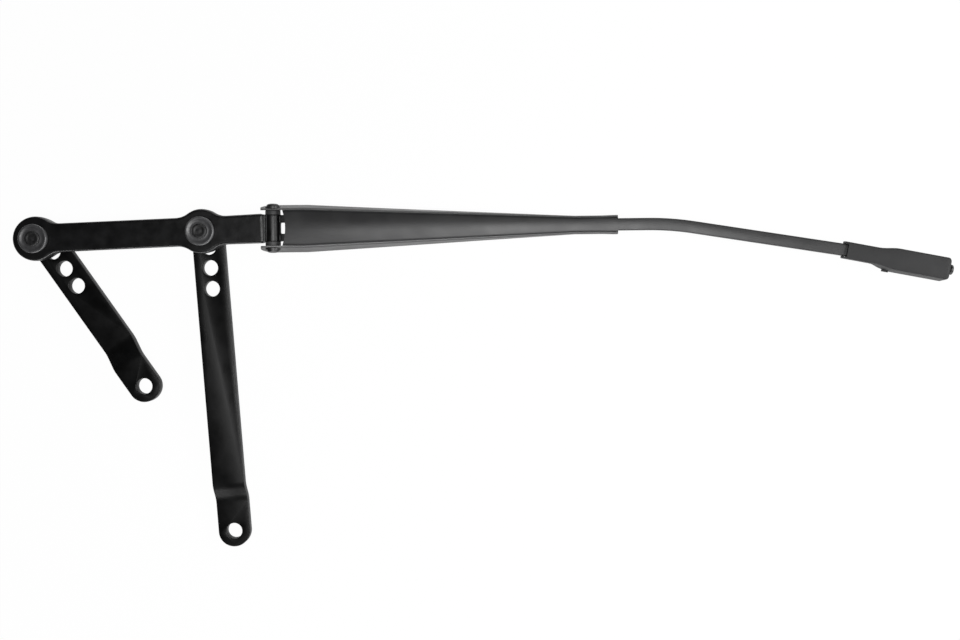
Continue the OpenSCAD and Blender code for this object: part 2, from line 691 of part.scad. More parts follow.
// Tip cover: a moulded neck over the rod that opens into a hood over the blade's joint
function corner_in(v) = v < tip_len - tip_corner ? 0
    : tip_corner - sqrt(max(0, pow(tip_corner, 2) - pow(v - tip_len + tip_corner, 2)));
function cover_half(v) = mix(neck_half, hood_half, ease((v - widen_from) / (widen_to - widen_from)));
function cover_deep(v) = mix(neck_deep, hood_deep, ease((v - widen_from + 6) / (widen_to - widen_from)));
function cover_flare(v) = mix(0, hood_flare, ease((v - widen_from + 3) / 8));
function cover_ring(v) = let (
    c = corner_in(v),
    w = cover_half(v) - c,
    r = 1.2,
    top = tip_top - c * 0.35,
    low = -cover_deep(v),
    side = [
        for (a = [0:22.5:90]) [w - r + r * cos(a), top - r + r * sin(a)]
    ]
) [for (p = concat(
    [[w - 0.4, low], [w + 0.2, low + 0.8]], side,
    [[0, top + 0.35]],
    [for (i = [len(side) - 1:-1:0]) [-side[i][0], side[i][1]]],
    [[-w - cover_flare(v), low + 0.8], [-w - cover_flare(v) + 0.6, low]]
)) [v, p[0], p[1]]];
cover_stations = concat(
    [0, 0.8, (widen_from - 4) / 3, (widen_from - 4) * 2 / 3],
    [for (i = [0:11]) widen_from - 4 + (widen_to - widen_from + 8) * i / 11],
    [(widen_to + tip_len) / 2],
    [for (a = [0:15:75]) tip_len - tip_corner + tip_corner * sin(a)], [tip_len]
);
module cover_hollow() {
    inner = hood_half - tip_wall;
    deep = hood_deep + 1;
    // Room for the connector, narrow in the neck and wide in the hood
    translate([2, -neck_half + tip_wall, -reach])
        cube([tip_len - end_wall - 2, 2 * (neck_half - tip_wall), reach + hood_floor - 0.3]);
    translate([widen_to, -inner, -deep]) cube([tip_len - end_wall - widen_to, 2 * inner, deep + hood_floor]);
    // The top edge of the mouth is cut back over the rod
    translate([-1, -neck_half + tip_wall, rod_t / 2 - 0.5])
        cube([3.4, 2 * (neck_half - tip_wall), reach]);
    translate([-1, -neck_half + tip_wall, -rod_t / 2 - 0.3])
        cube([4, 2 * (neck_half - tip_wall), rod_t + 0.6]);
}
module rod_pocket(height) {
    rod_end_frame() translate([-2, -rod_w / 2 - face_clear, -rod_t / 2 - face_clear])
        cube([rod_in_tip + 2 + face_clear, rod_w + 2 * face_clear, height]);
}
module tip_cover() color("#333436") difference() {
    union() {
        tip_frame() loft([for (v = cover_stations) cover_ring(v)]);
        // Small catch on the skirt
        tip_frame() translate([widen_to - 8, -hood_half - hood_flare - 0.7, -hood_deep + 1])
            cube([5, 1.6, 2]);
    }
    tip_frame() cover_hollow();
    rod_pocket(rod_t + 2 * face_clear);
    tip_frame() translate([tip_len - end_wall - 1, 0, -button_drop]) rotate([0, 90, 0])
        cylinder(h = end_wall + 2, d = button_neck_d + 2 * run_clear);
    tip_frame() cross_cyl(blade_pin_at, -blade_pin_deep, blade_pin_d, -hood_half - 0.2, hood_half - 0.4);
}

// Connector: the spine in the cover, riveted under the rod, that guides the button
module tip_connector() {
    half = rod_w / 2;
    top = hood_floor - 0.4;
    low = -rod_t / 2 - spine_base;
    foot = -button_drop - guide_d / 2 - 2.5;
    color("#4a4b4e") difference() {
        tip_frame() rotate([90, 0, 0]) linear_extrude(height = 2 * half, center = true) polygon([
            [spine_from, top], [spring_seat, top], [spring_seat, foot], [stop_v, foot],
            [stop_v, top - spine_plate], [widen_from + 14, top - spine_plate], [rod_in_tip + 4, low],
            [spine_from, low]
        ]);
        rod_pocket(reach);
        tip_frame() translate([stop_v - 1, 0, -button_drop]) rotate([0, 90, 0])
            cylinder(h = stop_t + 2, d = guide_d + 2 * run_clear);
        rod_end_frame() translate([tip_rivet_at, 0, -reach]) cylinder(h = 2 * reach, d = rivet_d);
    }
}
module tip_rivet()
    color("#5a5b5e") rod_end_frame() translate([tip_rivet_at, 0, 0])
        flush_rivet(-rod_t / 2 - spine_base, rod_t / 2 + 0.4);
module blade_pin()
    color("#8a8b8f") tip_frame()
        cross_cyl(blade_pin_at, -blade_pin_deep, blade_pin_d, -hood_half - 0.2, hood_half - 0.4);

// Release button: a head on a neck, a collar behind the wall and a guide through the connector
module release_button() color("#2b2b2d") tip_frame() translate([0, 0, -button_drop]) turned("x", [
    [spring_seat - 2, 0], [spring_seat - 2, guide_d / 2], [button_foot - collar_t, guide_d / 2],
    [button_foot - collar_t, button_neck_d / 2 + 1], [button_foot, button_neck_d / 2 + 1],
    [button_foot, button_neck_d / 2], [button_top, button_neck_d / 2],
    [button_top, button_d / 2], [button_top + button_head - 0.7, button_d / 2],
    [button_top + button_head - 0.2, button_d / 2 - 0.4], [button_top + button_head, button_d / 2 - 1],
    [button_top + button_head, 0]
]);
module button_spring() {
    wire = 0.7;
    r = guide_d / 2 + wire / 2 + 0.25;
    from = spring_seat;
    to = button_foot - collar_t;
    count = 6;
    color("#8a8b8f") tip_frame() translate([from, 0, -button_drop]) rotate([0, 90, 0]) rotate_extrude() {
        for (i = [0:count - 1])
            translate([r, wire / 2 + i * (to - from - wire) / (count - 1)]) circle(d = wire, $fn = 16);
        translate([r - wire * 0.2, wire / 2]) square([wire * 0.4, to - from - wire]);
    }
}

long_crank();
long_pivot_pin();
long_pivot_washer();
long_upper_bush();
long_lower_bush();
short_crank();
short_pivot_pin();
short_pivot_washer();
short_upper_bush();
short_lower_bush();
link_head();
hinge_rivet();
hinge_upper_bush();
hinge_lower_bush();
spring_pin();
arm_channel();
arm_rod();
upper_spring();
lower_spring();
spring_anchor();
anchor_pin();
anchor_rivet();
tip_cover();
tip_connector();
tip_rivet();
blade_pin();
release_button();
button_spring();
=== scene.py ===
import json
from math import cos, hypot, pi, radians, sin

import bpy
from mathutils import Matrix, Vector

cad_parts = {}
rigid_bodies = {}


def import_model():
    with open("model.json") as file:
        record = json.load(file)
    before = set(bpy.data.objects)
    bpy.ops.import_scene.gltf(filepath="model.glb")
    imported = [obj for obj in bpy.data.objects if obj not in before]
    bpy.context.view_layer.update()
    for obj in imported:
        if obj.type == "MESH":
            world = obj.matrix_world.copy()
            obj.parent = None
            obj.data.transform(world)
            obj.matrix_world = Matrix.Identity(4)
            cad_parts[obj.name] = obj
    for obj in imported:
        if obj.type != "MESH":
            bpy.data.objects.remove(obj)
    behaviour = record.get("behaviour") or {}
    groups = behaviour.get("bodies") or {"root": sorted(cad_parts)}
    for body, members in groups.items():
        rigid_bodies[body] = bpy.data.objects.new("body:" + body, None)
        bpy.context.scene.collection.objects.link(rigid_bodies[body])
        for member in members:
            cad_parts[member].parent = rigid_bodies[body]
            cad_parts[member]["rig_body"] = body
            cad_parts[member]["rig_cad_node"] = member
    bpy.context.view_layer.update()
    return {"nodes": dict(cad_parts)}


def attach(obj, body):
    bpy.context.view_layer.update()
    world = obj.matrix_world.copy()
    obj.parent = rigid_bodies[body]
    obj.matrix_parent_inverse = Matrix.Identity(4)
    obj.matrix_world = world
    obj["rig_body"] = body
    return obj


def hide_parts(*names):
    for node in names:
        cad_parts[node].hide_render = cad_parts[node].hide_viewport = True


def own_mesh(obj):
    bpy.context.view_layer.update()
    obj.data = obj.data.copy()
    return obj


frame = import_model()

mm = 0.001

# where the pieces sit: a corner in mm and a turn in degrees
places = {
    "long": ((-20.0827, 239.1583, 0), -85.2),
    "short": ((-149.9489, 233.2611, 0), -54.6),
    "arm": ((34.3612, 241.6306, 17.5), 0.65),
    "tip": ((483.518, 224.7248, 17.5), -10.45),
}


# small tools

def objectMode():
    bpy.ops.object.mode_set(mode="OBJECT")


def clearSelection():
    if bpy.context.object and bpy.context.object.mode != "OBJECT":
        objectMode()
    bpy.ops.object.select_all(action="DESELECT")


def pick(piece):
    clearSelection()
    piece.select_set(True)
    bpy.context.view_layer.objects.active = piece


def newest(name):
    piece = bpy.context.object
    piece.name = name
    piece.data.name = name
    return piece


def editAll(piece):
    pick(piece)
    bpy.ops.object.mode_set(mode="EDIT")
    bpy.ops.mesh.select_all(action="SELECT")


def selectWhere(piece, kind, test):
    # the test gets a vertex's place, the two ends of an edge, or a face's centre and normal
    bpy.ops.object.mode_set(mode="EDIT")
    bpy.ops.mesh.select_mode(type=kind)
    bpy.ops.mesh.select_all(action="DESELECT")
    objectMode()
    mesh = piece.data
    if kind == "VERT":
        for v in mesh.vertices:
            v.select = test(v.co)
    elif kind == "EDGE":
        for e in mesh.edges:
            a, b = (mesh.vertices[i].co for i in e.vertices)
            e.select = test(a, b)
    else:
        for f in mesh.polygons:
            f.select = test(f.center, f.normal)
    bpy.ops.object.mode_set(mode="EDIT")


def addModifier(piece, kind, **values):
    m = piece.modifiers.new(kind.lower(), kind)
    for key, value in values.items():
        setattr(m, key, value)
    pick(piece)
    bpy.ops.object.modifier_apply(modifier=m.name)


def carve(piece, tool, way="DIFFERENCE"):
    # cuts the tool out of the piece, or joins it on, and drops the tool
    addModifier(piece, "BOOLEAN", operation=way, object=tool, solver="EXACT")
    bpy.data.objects.remove(tool)


def smooth(piece, angle):
    pick(piece)
    bpy.ops.object.shade_smooth_by_angle(angle=radians(angle))


def bevelEdges(piece, width, segments, angle):
    addModifier(piece, "BEVEL", width=width * mm, segments=segments, limit_method="ANGLE",
                angle_limit=radians(angle), harden_normals=False, use_clamp_overlap=True)


def applyPlace():
    bpy.ops.object.transform_apply(location=True, rotation=True, scale=True)


def moveTo(piece, at, turn):
    # mm and degrees, both left in the mesh
    pick(piece)
    piece.location = [c * mm for c in at]
    piece.rotation_euler = [radians(a) for a in turn]
    applyPlace()
    return piece


def setDown(piece, place, turn=(0, 0, 0)):
    # turns a piece made at the origin, then takes it to its place
    corner, heading = places[place]
    moveTo(piece, (0, 0, 0), turn)
    return moveTo(piece, corner, (0, 0, heading))


def finish(piece, body, nodes, look):
    piece.data.materials.clear()
    piece.data.materials.append(finishes[look])
    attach(piece, body)
    if nodes:
        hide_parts(*nodes)


def copyNode(node, name):
    # a merged copy of a CAD node to work on
    pick(frame["nodes"][node])
    frame["nodes"][node].hide_viewport = False
    bpy.ops.object.duplicate()
    piece = newest(name)
    piece.parent = None
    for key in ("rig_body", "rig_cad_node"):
        if key in piece:
            del piece[key]
    editAll(piece)
    bpy.ops.mesh.customdata_custom_splitnormals_clear()
    bpy.ops.mesh.remove_doubles(threshold=0.002 * mm)
    objectMode()
    return piece


def makeBlock(name, low, high):
    # a plain block given by two corners
    clearSelection()
    bpy.ops.mesh.primitive_cube_add(size=1, location=[(a + b) / 2 * mm for a, b in zip(low, high)],
                                    scale=[(b - a) * mm for a, b in zip(low, high)])
    block = newest(name)
    applyPlace()
    return block


def turnProfile(name, profile, sides=72):
    # extrudes a circle step by step along a profile of (radius, height) round the local Z axis
    clearSelection()
    r, z = profile[0]
    bpy.ops.mesh.primitive_circle_add(vertices=sides, radius=r * mm, location=(0, 0, z * mm),
                                      fill_type="NOTHING")
    piece = newest(name)
    applyPlace()
    editAll(piece)
    for r1, z1 in profile[1:]:
        bpy.ops.mesh.extrude_edges_move(TRANSFORM_OT_translate={"value": (0, 0, (z1 - z) * mm)})
        bpy.ops.transform.resize(value=(r1 / r, r1 / r, 1), center_override=(0, 0, z1 * mm))
        r, z = r1, z1
    bpy.ops.mesh.select_all(action="SELECT")
    bpy.ops.mesh.remove_doubles(threshold=0.0005 * mm)
    objectMode()
    return piece


def faceOut(piece):
    editAll(piece)
    bpy.ops.mesh.normals_make_consistent(inside=False)
    objectMode()


def closeEnds(piece):
    # fills what a turned profile leaves open at its two ends
    editAll(piece)
    bpy.ops.mesh.select_mode(type="EDGE")
    bpy.ops.mesh.select_all(action="DESELECT")
    bpy.ops.mesh.select_non_manifold(extend=False, use_wire=False, use_boundary=True, use_multi_face=False,
                                     use_non_contiguous=False, use_verts=False)
    bpy.ops.mesh.edge_face_add()
    faceOut(piece)


# finishes

def nodesOf(material):
    material.use_nodes = True
    tree = material.node_tree
    tree.nodes.clear()
    return tree, tree.nodes.new("ShaderNodeOutputMaterial")


def addNoise(tree, coords, scale, detail, rough=0.55):
    noise = tree.nodes.new("ShaderNodeTexNoise")
    noise.inputs["Scale"].default_value = scale
    noise.inputs["Detail"].default_value = detail
    noise.inputs["Roughness"].default_value = rough
    tree.links.new(coords, noise.inputs["Vector"])
    return noise.outputs["Fac"]


def addRange(tree, value, low, high, fromLow=0.3, fromHigh=0.7):
    span = tree.nodes.new("ShaderNodeMapRange")
    span.inputs["From Min"].default_value = fromLow
    span.inputs["From Max"].default_value = fromHigh
    span.inputs["To Min"].default_value = low
    span.inputs["To Max"].default_value = high
    tree.links.new(value, span.inputs["Value"])
    return span.outputs["Result"]


def addMix(tree, factor, a, b):
    mix = tree.nodes.new("ShaderNodeMix")
    mix.data_type = "RGBA"
    for socket, colour in ((mix.inputs["A"], a), (mix.inputs["B"], b)):
        if isinstance(colour, (tuple, list)):
            socket.default_value = (*colour, 1)
        else:
            tree.links.new(colour, socket)
    tree.links.new(factor, mix.inputs["Factor"])
    return mix.outputs["Result"]


def addBump(tree, height, depth, strength, below=None):
    bump = tree.nodes.new("ShaderNodeBump")
    bump.inputs["Distance"].default_value = depth * mm
    bump.inputs["Strength"].default_value = strength
    tree.links.new(height, bump.inputs["Height"])
    if below:
        tree.links.new(below, bump.inputs["Normal"])
    return bump.outputs["Normal"]


def makeFinish(name, look):
    # a coat, plastic or bare metal: cloudy colour, uneven gloss, fine grain and a soft waviness under it
    material = bpy.data.materials.new(name)
    tree, out = nodesOf(material)
    shader = tree.nodes.new("ShaderNodeBsdfPrincipled")
    tree.links.new(shader.outputs["BSDF"], out.inputs["Surface"])
    coords = tree.nodes.new("ShaderNodeTexCoord").outputs["Object"]
    cloud = addNoise(tree, coords, look["cloudScale"], 4.0)
    grain = addNoise(tree, coords, look["grainScale"], 2.0, 0.6)
    wave = addNoise(tree, coords, look["waveScale"], 2.0)
    base, spread = look["colour"], look["cloud"]
    colour = addMix(tree, addRange(tree, cloud, 0, 1), [c * (1 - spread) for c in base],
                    [c * (1 + spread) for c in base])
    if "speck" in look:
        dots = addNoise(tree, coords, look["speckScale"], 1.0)
        colour = addMix(tree, addRange(tree, dots, 0, 1, 0.62, 0.72), colour, look["speck"])
    tree.links.new(colour, shader.inputs["Base Color"])
    rough, spread = look["rough"], look["roughSpread"]
    tree.links.new(addRange(tree, cloud, rough - spread, rough + spread), shader.inputs["Roughness"])
    low = addBump(tree, wave, look["waveDepth"], 0.6)
    tree.links.new(addBump(tree, grain, look["grainDepth"], 0.7, low), shader.inputs["Normal"])
    shader.inputs["Metallic"].default_value = look.get("metallic", 0)
    shader.inputs["Specular IOR Level"].default_value = look.get("specular", 0.5)
    return material


# scales count per metre, depths are in mm
looks = {
    "crankCoat": dict(
        colour=(0.0012, 0.0012, 0.0013), cloud=0.5, cloudScale=70, rough=0.37, roughSpread=0.07,
        grainScale=1500, grainDepth=0.012, waveScale=90, waveDepth=0.05, specular=0.26),
    "headCoat": dict(
        colour=(0.0025, 0.0025, 0.0028), cloud=0.45, cloudScale=110, rough=0.34, roughSpread=0.06,
        grainScale=1100, grainDepth=0.03, waveScale=140, waveDepth=0.08, specular=0.42),
    "pinEnd": dict(
        colour=(0.007, 0.007, 0.0075), cloud=0.8, cloudScale=380, rough=0.50, roughSpread=0.12,
        grainScale=900, grainDepth=0.08, waveScale=420, waveDepth=0.22, specular=0.45),
    "washerCoat": dict(
        colour=(0.036, 0.036, 0.038), cloud=0.22, cloudScale=300, rough=0.42, roughSpread=0.08,
        grainScale=1400, grainDepth=0.03, waveScale=300, waveDepth=0.04, specular=0.9),
    "bushPlastic": dict(
        colour=(0.035, 0.035, 0.036), cloud=0.2, cloudScale=200, rough=0.55, roughSpread=0.05,
        grainScale=1500, grainDepth=0.015, waveScale=200, waveDepth=0.02),
    "armCoat": dict(
        colour=(0.009, 0.009, 0.0095), cloud=0.10, cloudScale=60, rough=0.39, roughSpread=0.05,
        grainScale=1300, grainDepth=0.035, waveScale=60, waveDepth=0.03),
    "zinc": dict(
        colour=(0.52, 0.52, 0.53), cloud=0.12, cloudScale=240, rough=0.34, roughSpread=0.08,
        grainScale=2200, grainDepth=0.012, waveScale=300, waveDepth=0.02, metallic=1),
    "rawSteel": dict(
        colour=(0.33, 0.33, 0.335), cloud=0.25, cloudScale=160, rough=0.42, roughSpread=0.1,
        grainScale=1800, grainDepth=0.02, waveScale=200, waveDepth=0.03, metallic=1,
        speck=(0.12, 0.11, 0.10), speckScale=500),
    "coverPlastic": dict(
        colour=(0.010, 0.010, 0.0105), cloud=0.10, cloudScale=90, rough=0.56, roughSpread=0.05,
        grainScale=2600, grainDepth=0.022, waveScale=120, waveDepth=0.02, specular=0.32),
    "buttonPlastic": dict(
        colour=(0.012, 0.012, 0.0125), cloud=0.15, cloudScale=150, rough=0.5, roughSpread=0.06,
        grainScale=2600, grainDepth=0.015, waveScale=160, waveDepth=0.02),
}
finishes = {name: makeFinish(name, look) for name, look in looks.items()}
print("finishes ready")

# cranks

crankBar = {"width": 25, "thick": 6, "low": 5, "hole": 12.5, "pinHole": 9, "firstHole": 12.1,
            "holePitch": 16.7, "rowHoles": 3, "holeSides": 64, "drillZ": 8, "drill": 60,
            "edge": 0.55, "endSides": 28, "bendSoft": 3.0, "bendCuts": 6}
crankSizes = {
    "long": {"length": 240, "step": -5, "slopeFrom": 203, "slope": 11},
    "short": {"length": 142.5, "step": 6, "slopeFrom": 104, "slope": 15},
}


def makeCrank(side):
    c, own = crankBar, crankSizes[side]
    length, slopeFrom, slope = own["length"], own["slopeFrom"], own["slope"]
    half, soft, cuts = c["width"] / 2, c["bendSoft"], c["bendCuts"]
    piece = makeBlock(side + "CrankBar", (-half, -half, c["low"]), (length + half, half, c["low"] + c["thick"]))
    # round ends
    selectWhere(piece, "EDGE", lambda a, b: abs(a.x - b.x) < 1e-6 and abs(a.y - b.y) < 1e-6)
    bpy.ops.mesh.bevel(offset=(half - 0.01) * mm, segments=c["endSides"], affect="EDGES")
    # cuts across the bar where it bends
    stations = [bend - soft + i * 2 * soft / cuts for bend in (slopeFrom, slopeFrom + slope)
                for i in range(cuts + 1)]
    for x in stations:
        bpy.ops.mesh.select_all(action="SELECT")
        bpy.ops.mesh.bisect(plane_co=(x * mm, 0, 0), plane_no=(1, 0, 0))
    objectMode()

    def drop(x):
        # straight slope with its two bends rounded
        total = 0
        for corner, way in ((slopeFrom, 1), (slopeFrom + slope, -1)):
            t = x - corner
            bent = 0 if t < -soft else t if t > soft else (t + soft) ** 2 / (4 * soft)
            total += way * bent
        return total * own["step"] / slope

    for x in stations:
        selectWhere(piece, "VERT", lambda p: abs(p.x / mm - x) < 0.02)
        bpy.ops.transform.translate(value=(0, 0, drop(x) * mm))
    selectWhere(piece, "VERT", lambda p: p.x / mm > stations[-1] + 0.02)
    bpy.ops.transform.translate(value=(0, 0, own["step"] * mm))
    # the pin's hole, the row beside it and the mounting bore
    holes = [(0, c["pinHole"])]
    holes += [(c["firstHole"] + i * c["holePitch"], c["hole"]) for i in range(c["rowHoles"])]
    holes.append((length, c["hole"]))
    for x, size in holes:
        clearSelection()
        bpy.ops.mesh.primitive_cylinder_add(vertices=c["holeSides"], radius=size / 2 * mm,
                                            depth=c["drill"] * mm, location=(x * mm, 0, c["drillZ"] * mm))
        drill = newest("drill")
        applyPlace()
        carve(piece, drill)
    bevelEdges(piece, c["edge"], 3, 40)
    smooth(piece, 32)
    return setDown(piece, side)


for side in ("long", "short"):
    finish(makeCrank(side), side + "_crank_body", [side + "_crank"], "crankCoat")
print("cranks ready")

# pivots: pin, dished washer and bushes, once for each crank

pivot = {"footR": 5.8, "footZ": 5, "neckR": 4.5, "neckZ": 11, "shankR": 5, "spigotR": 4, "headR": 5.8,
         "pinTop": 27.8, "washerR": 11.3, "washerZ": 26.4, "bossTop": 25, "bossLow": 12.4, "bore": 5.05,
         "bushR": 6.5, "flangeR": 10.75, "flangeH": 1.3, "sleeve": 5.6}


def makePin(name, place):
    p = pivot
    foot, neck, shank, spigot, head = p["footR"], p["neckR"], p["shankR"], p["spigotR"], p["headR"]
    step, top = p["washerZ"], p["pinTop"]
    profile = [
        (0.4, 3.25), (3.6, 3.2), (4.9, 3.35), (5.5, 3.75), (foot, 4.4), (foot, p["footZ"]), (neck, p["footZ"]),
        (neck, p["neckZ"]), (shank, p["neckZ"]), (shank, step), (spigot, step), (spigot, top), (5.72, top),
        (head, top + 0.1), (head, top + 0.5), (5.6, top + 0.9), (5.15, top + 1.18), (4.5, top + 1.29),
        (3.7, top + 1.2), (3.2, top + 1.02), (2.4, top + 0.92), (1.6, top + 0.98), (0.9, top + 1.06),
        (0.3, top + 1.1)
    ]
    piece = turnProfile(name, profile, 64)
    closeEnds(piece)
    # finer faces on the riveted end
    selectWhere(piece, "FACE", lambda c, n: c.z > (top + 0.85) * mm and hypot(c.x, c.y) < 5.3 * mm)
    bpy.ops.mesh.subdivide(number_cuts=1, smoothness=0)
    objectMode()
    smooth(piece, 40)
    return setDown(piece, place)


def makeWasher(name, place):
    z, r, hole = pivot["washerZ"], pivot["washerR"], pivot["spigotR"] + 0.02
    profile = [
        (hole, z), (r - 0.5, z), (r, z + 0.45), (r, z + 1.25), (r - 0.18, z + 1.72), (r - 0.6, z + 2.0),
        (r - 1.15, z + 2.1), (r - 1.75, z + 2.0), (r - 2.3, z + 1.75), (r - 2.9, z + 1.5), (r - 3.6, z + 1.36),
        (6.5, z + 1.33), (6.15, z + 1.45), (5.95, z + 1.42), (5.82, z + 1.34), (hole, z + 1.34), (hole, z)
    ]
    piece = turnProfile(name, profile, 96)
    faceOut(piece)
    smooth(piece, 40)
    return setDown(piece, place)


def makeBush(name, place, z, way):
    p = pivot
    inner, outer, flange, high, sleeve = p["bore"], p["bushR"], p["flangeR"], p["flangeH"], p["sleeve"]
    steps = [(inner + 0.3, high), (flange - 0.35, high), (flange, high - 0.35), (flange, 0), (outer, 0),
             (outer, 0.3 - sleeve), (outer - 0.3, -sleeve), (inner, -sleeve), (inner, high - 0.3),
             (inner + 0.3, high)]
    piece = turnProfile(name, [(r, z + way * h) for r, h in steps])
    faceOut(piece)
    smooth(piece, 40)
    return setDown(piece, place)


for side in ("long", "short"):
    body = side + "_crank_body"
    finish(makePin(side + "PivotPin", side), body, [side + "_pivot_pin"], "pinEnd")
    finish(makeWasher(side + "DishedWasher", side), body, [side + "_pivot_washer"], "washerCoat")
    finish(makeBush(side + "TopBush", side, pivot["bossTop"], 1), "link_body",
           [side + "_upper_bush"], "bushPlastic")
    finish(makeBush(side + "LowBush", side, pivot["bossLow"], -1), "link_body",
           [side + "_lower_bush"], "bushPlastic")
print("pivots ready")

# link head: a casting, so its corners run softly into each other

casting = {"voxel": 0.5, "passes": 4, "barrelR": 6.2, "barrelHalf": 10.6, "barrelBore": 4.75, "roundSides": 96,
           "stepAt": -4.4, "stepFrom": -9.5, "stepLow": 3.0, "stepTop": 7.05,
           "cutTo": 6.5, "cutLow": 1.0, "cutTop": 9}


def makeRound(radius, half):
    # a cylinder on the hinge's axis
    clearSelection()
    bpy.ops.mesh.primitive_cylinder_add(vertices=casting["roundSides"], radius=radius * mm, depth=2 * half * mm)
    return setDown(newest("round"), "arm", (90, 0, 0))


def makeHead():
    # the flat top ends in a step before the barrel, and the barrel keeps its bore for the bushes
    c = casting
    half = c["barrelHalf"]
    cut = makeBlock("cut", (c["stepAt"], -half - 0.1, c["cutLow"]), (c["cutTo"], half + 0.1, c["cutTop"]))
    step = makeBlock("step", (c["stepFrom"], -half, c["stepLow"]), (c["stepAt"], half, c["stepTop"]))
    head = copyNode("link_head", "castLinkHead")
    carve(head, setDown(cut, "arm"))
    carve(head, setDown(step, "arm"), "UNION")
    carve(head, makeRound(c["barrelR"], half), "UNION")
    carve(head, makeRound(c["barrelBore"], half + 5))
    addModifier(head, "REMESH", mode="VOXEL", voxel_size=c["voxel"] * mm, adaptivity=0)
    addModifier(head, "SMOOTH", factor=0.5, iterations=c["passes"])
    pick(head)
    bpy.ops.object.shade_smooth()
    return head


finish(makeHead(), "link_body", ["link_head"], "headCoat")
print("link head ready")

# fold hinge

hinge = {"seat": 16.9, "headH": 2.5, "headR": 4.8, "shankR": 3.5, "barrelHalf": 10.65, "bushOut": 13.85,
         "bushBore": 3.55, "bushR": 4.7, "flangeR": 5.85, "sleeve": 9}


def makeHingeRivet():
    h = hinge
    s, r, top = h["seat"], h["headR"], h["seat"] + h["headH"]
    half = [(0.4, top), (1.5, top - 0.04), (2.6, top - 0.16), (3.6, top - 0.42), (4.3, top - 0.8),
            (4.7, top - 1.25), (r, top - 1.6), (r, s), (h["shankR"], s)]
    profile = [(r, -z) for r, z in half] + [(r, z) for r, z in reversed(half)]
    piece = turnProfile("hingeRivet", profile, 64)
    closeEnds(piece)
    smooth(piece, 40)
    return setDown(piece, "arm", (-90, 0, 0))


def makeHingeBush(name, side):
    h = hinge
    out, face, r, flange, outer = h["bushOut"], h["barrelHalf"], h["bushBore"], h["flangeR"], h["bushR"]
    steps = [(r, out - 0.2), (r + 0.2, out), (flange - 0.4, out), (flange - 0.1, out - 0.12),
             (flange, out - 0.4), (flange, face), (outer, face), (outer, face - h["sleeve"]),
             (r, face - h["sleeve"]), (r, out - 0.2)]
    piece = turnProfile(name, [(a, side * z) for a, z in steps], 64)
    faceOut(piece)
    smooth(piece, 40)
    return setDown(piece, "arm", (-90, 0, 0))


finish(makeHingeRivet(), "arm_body", ["hinge_rivet"], "armCoat")
finish(makeHingeBush("hingeTopBush", 1), "link_body", ["hinge_upper_bush"], "bushPlastic")
finish(makeHingeBush("hingeLowBush", -1), "link_body", ["hinge_lower_bush"], "bushPlastic")

# cross pins for the springs and the blade

crossPins = {
    "spring": {"radius": 2.5, "half": 10.3, "place": "arm", "at": (13.5, 0, -2), "body": "link_body"},
    "anchor": {"radius": 2.5, "half": 8.0, "place": "arm", "at": (156, 0, -2), "body": "arm_body"},
    "blade": {"radius": 2, "half": 8.6, "place": "tip", "at": (57, 0, -4), "body": "arm_body"},
}


def makeCrossPin(name, pin):
    radius, half = pin["radius"], pin["half"]
    piece = turnProfile(name, [(radius - 0.6, -half), (radius - 0.25, -half + 0.08), (radius, -half + 0.4),
                               (radius, half - 0.4), (radius - 0.25, half - 0.08), (radius - 0.6, half)], 48)
    closeEnds(piece)
    smooth(piece, 40)
    moveTo(piece, pin["at"], (-90, 0, 0))
    return setDown(piece, pin["place"])


for name, pin in crossPins.items():
    finish(makeCrossPin(name + "CrossPin", pin), pin["body"], [name + "_pin"], "zinc")
print("hinge ready")

# arm: channel and rod

pressing = {"drop": 0.9, "from": 14, "full": 34, "end": 237.5, "rootHalf": 11.4, "endHalf": 4.15,
            "taperFrom": 25, "fade": 0.7, "edgeFrom": 0.8}


def pressShoulders(piece):
    # the long edges of the top lie a little lower than its middle, which gives the broad dark shoulder
    g = pressing
    corner, heading = places["arm"]
    turn = radians(heading)

    def inArm(p):
        x, y = p.x / mm - corner[0], p.y / mm - corner[1]
        return x * cos(turn) + y * sin(turn), abs(y * cos(turn) - x * sin(turn))

    for u in sorted({round(inArm(v.co)[0], 1) for v in piece.data.vertices}):
        share = max(0, min(1, (u - g["from"]) / (g["full"] - g["from"])))
        taper = max(0, min(1, (u - g["taperFrom"]) / (g["end"] - g["taperFrom"])))
        low = g["drop"] * share * (1 - g["fade"] * taper)
        if low < 0.01:
            continue
        edge = g["edgeFrom"] * (g["rootHalf"] + (g["endHalf"] - g["rootHalf"]) * taper)
        selectWhere(piece, "VERT", lambda p: abs(inArm(p)[0] - u) < 0.06 and inArm(p)[1] > edge)
        bpy.ops.transform.translate(value=(0, 0, -low * mm))
    objectMode()


channel = copyNode("arm_channel", "pressedChannel")
pressShoulders(channel)
smooth(channel, 32)
finish(channel, "arm_body", ["arm_channel"], "armCoat")
rod = copyNode("arm_rod", "flatRod")
smooth(rod, 40)
finish(rod, "arm_body", ["arm_rod"], "armCoat")
print("arm ready")

# springs

spring = {"coilR": 3.4, "wireR": 0.8, "from": 18.6, "to": 151.5, "offset": 4.5, "drop": -2, "eyeR": 3.6,
          "pins": (13.5, 156), "hookFrom": 134.5, "hookOff": 4.2, "pitch": 1.62, "steps": 18, "wireSides": 8,
          "eyeSides": 40, "eyeWireSides": 12}


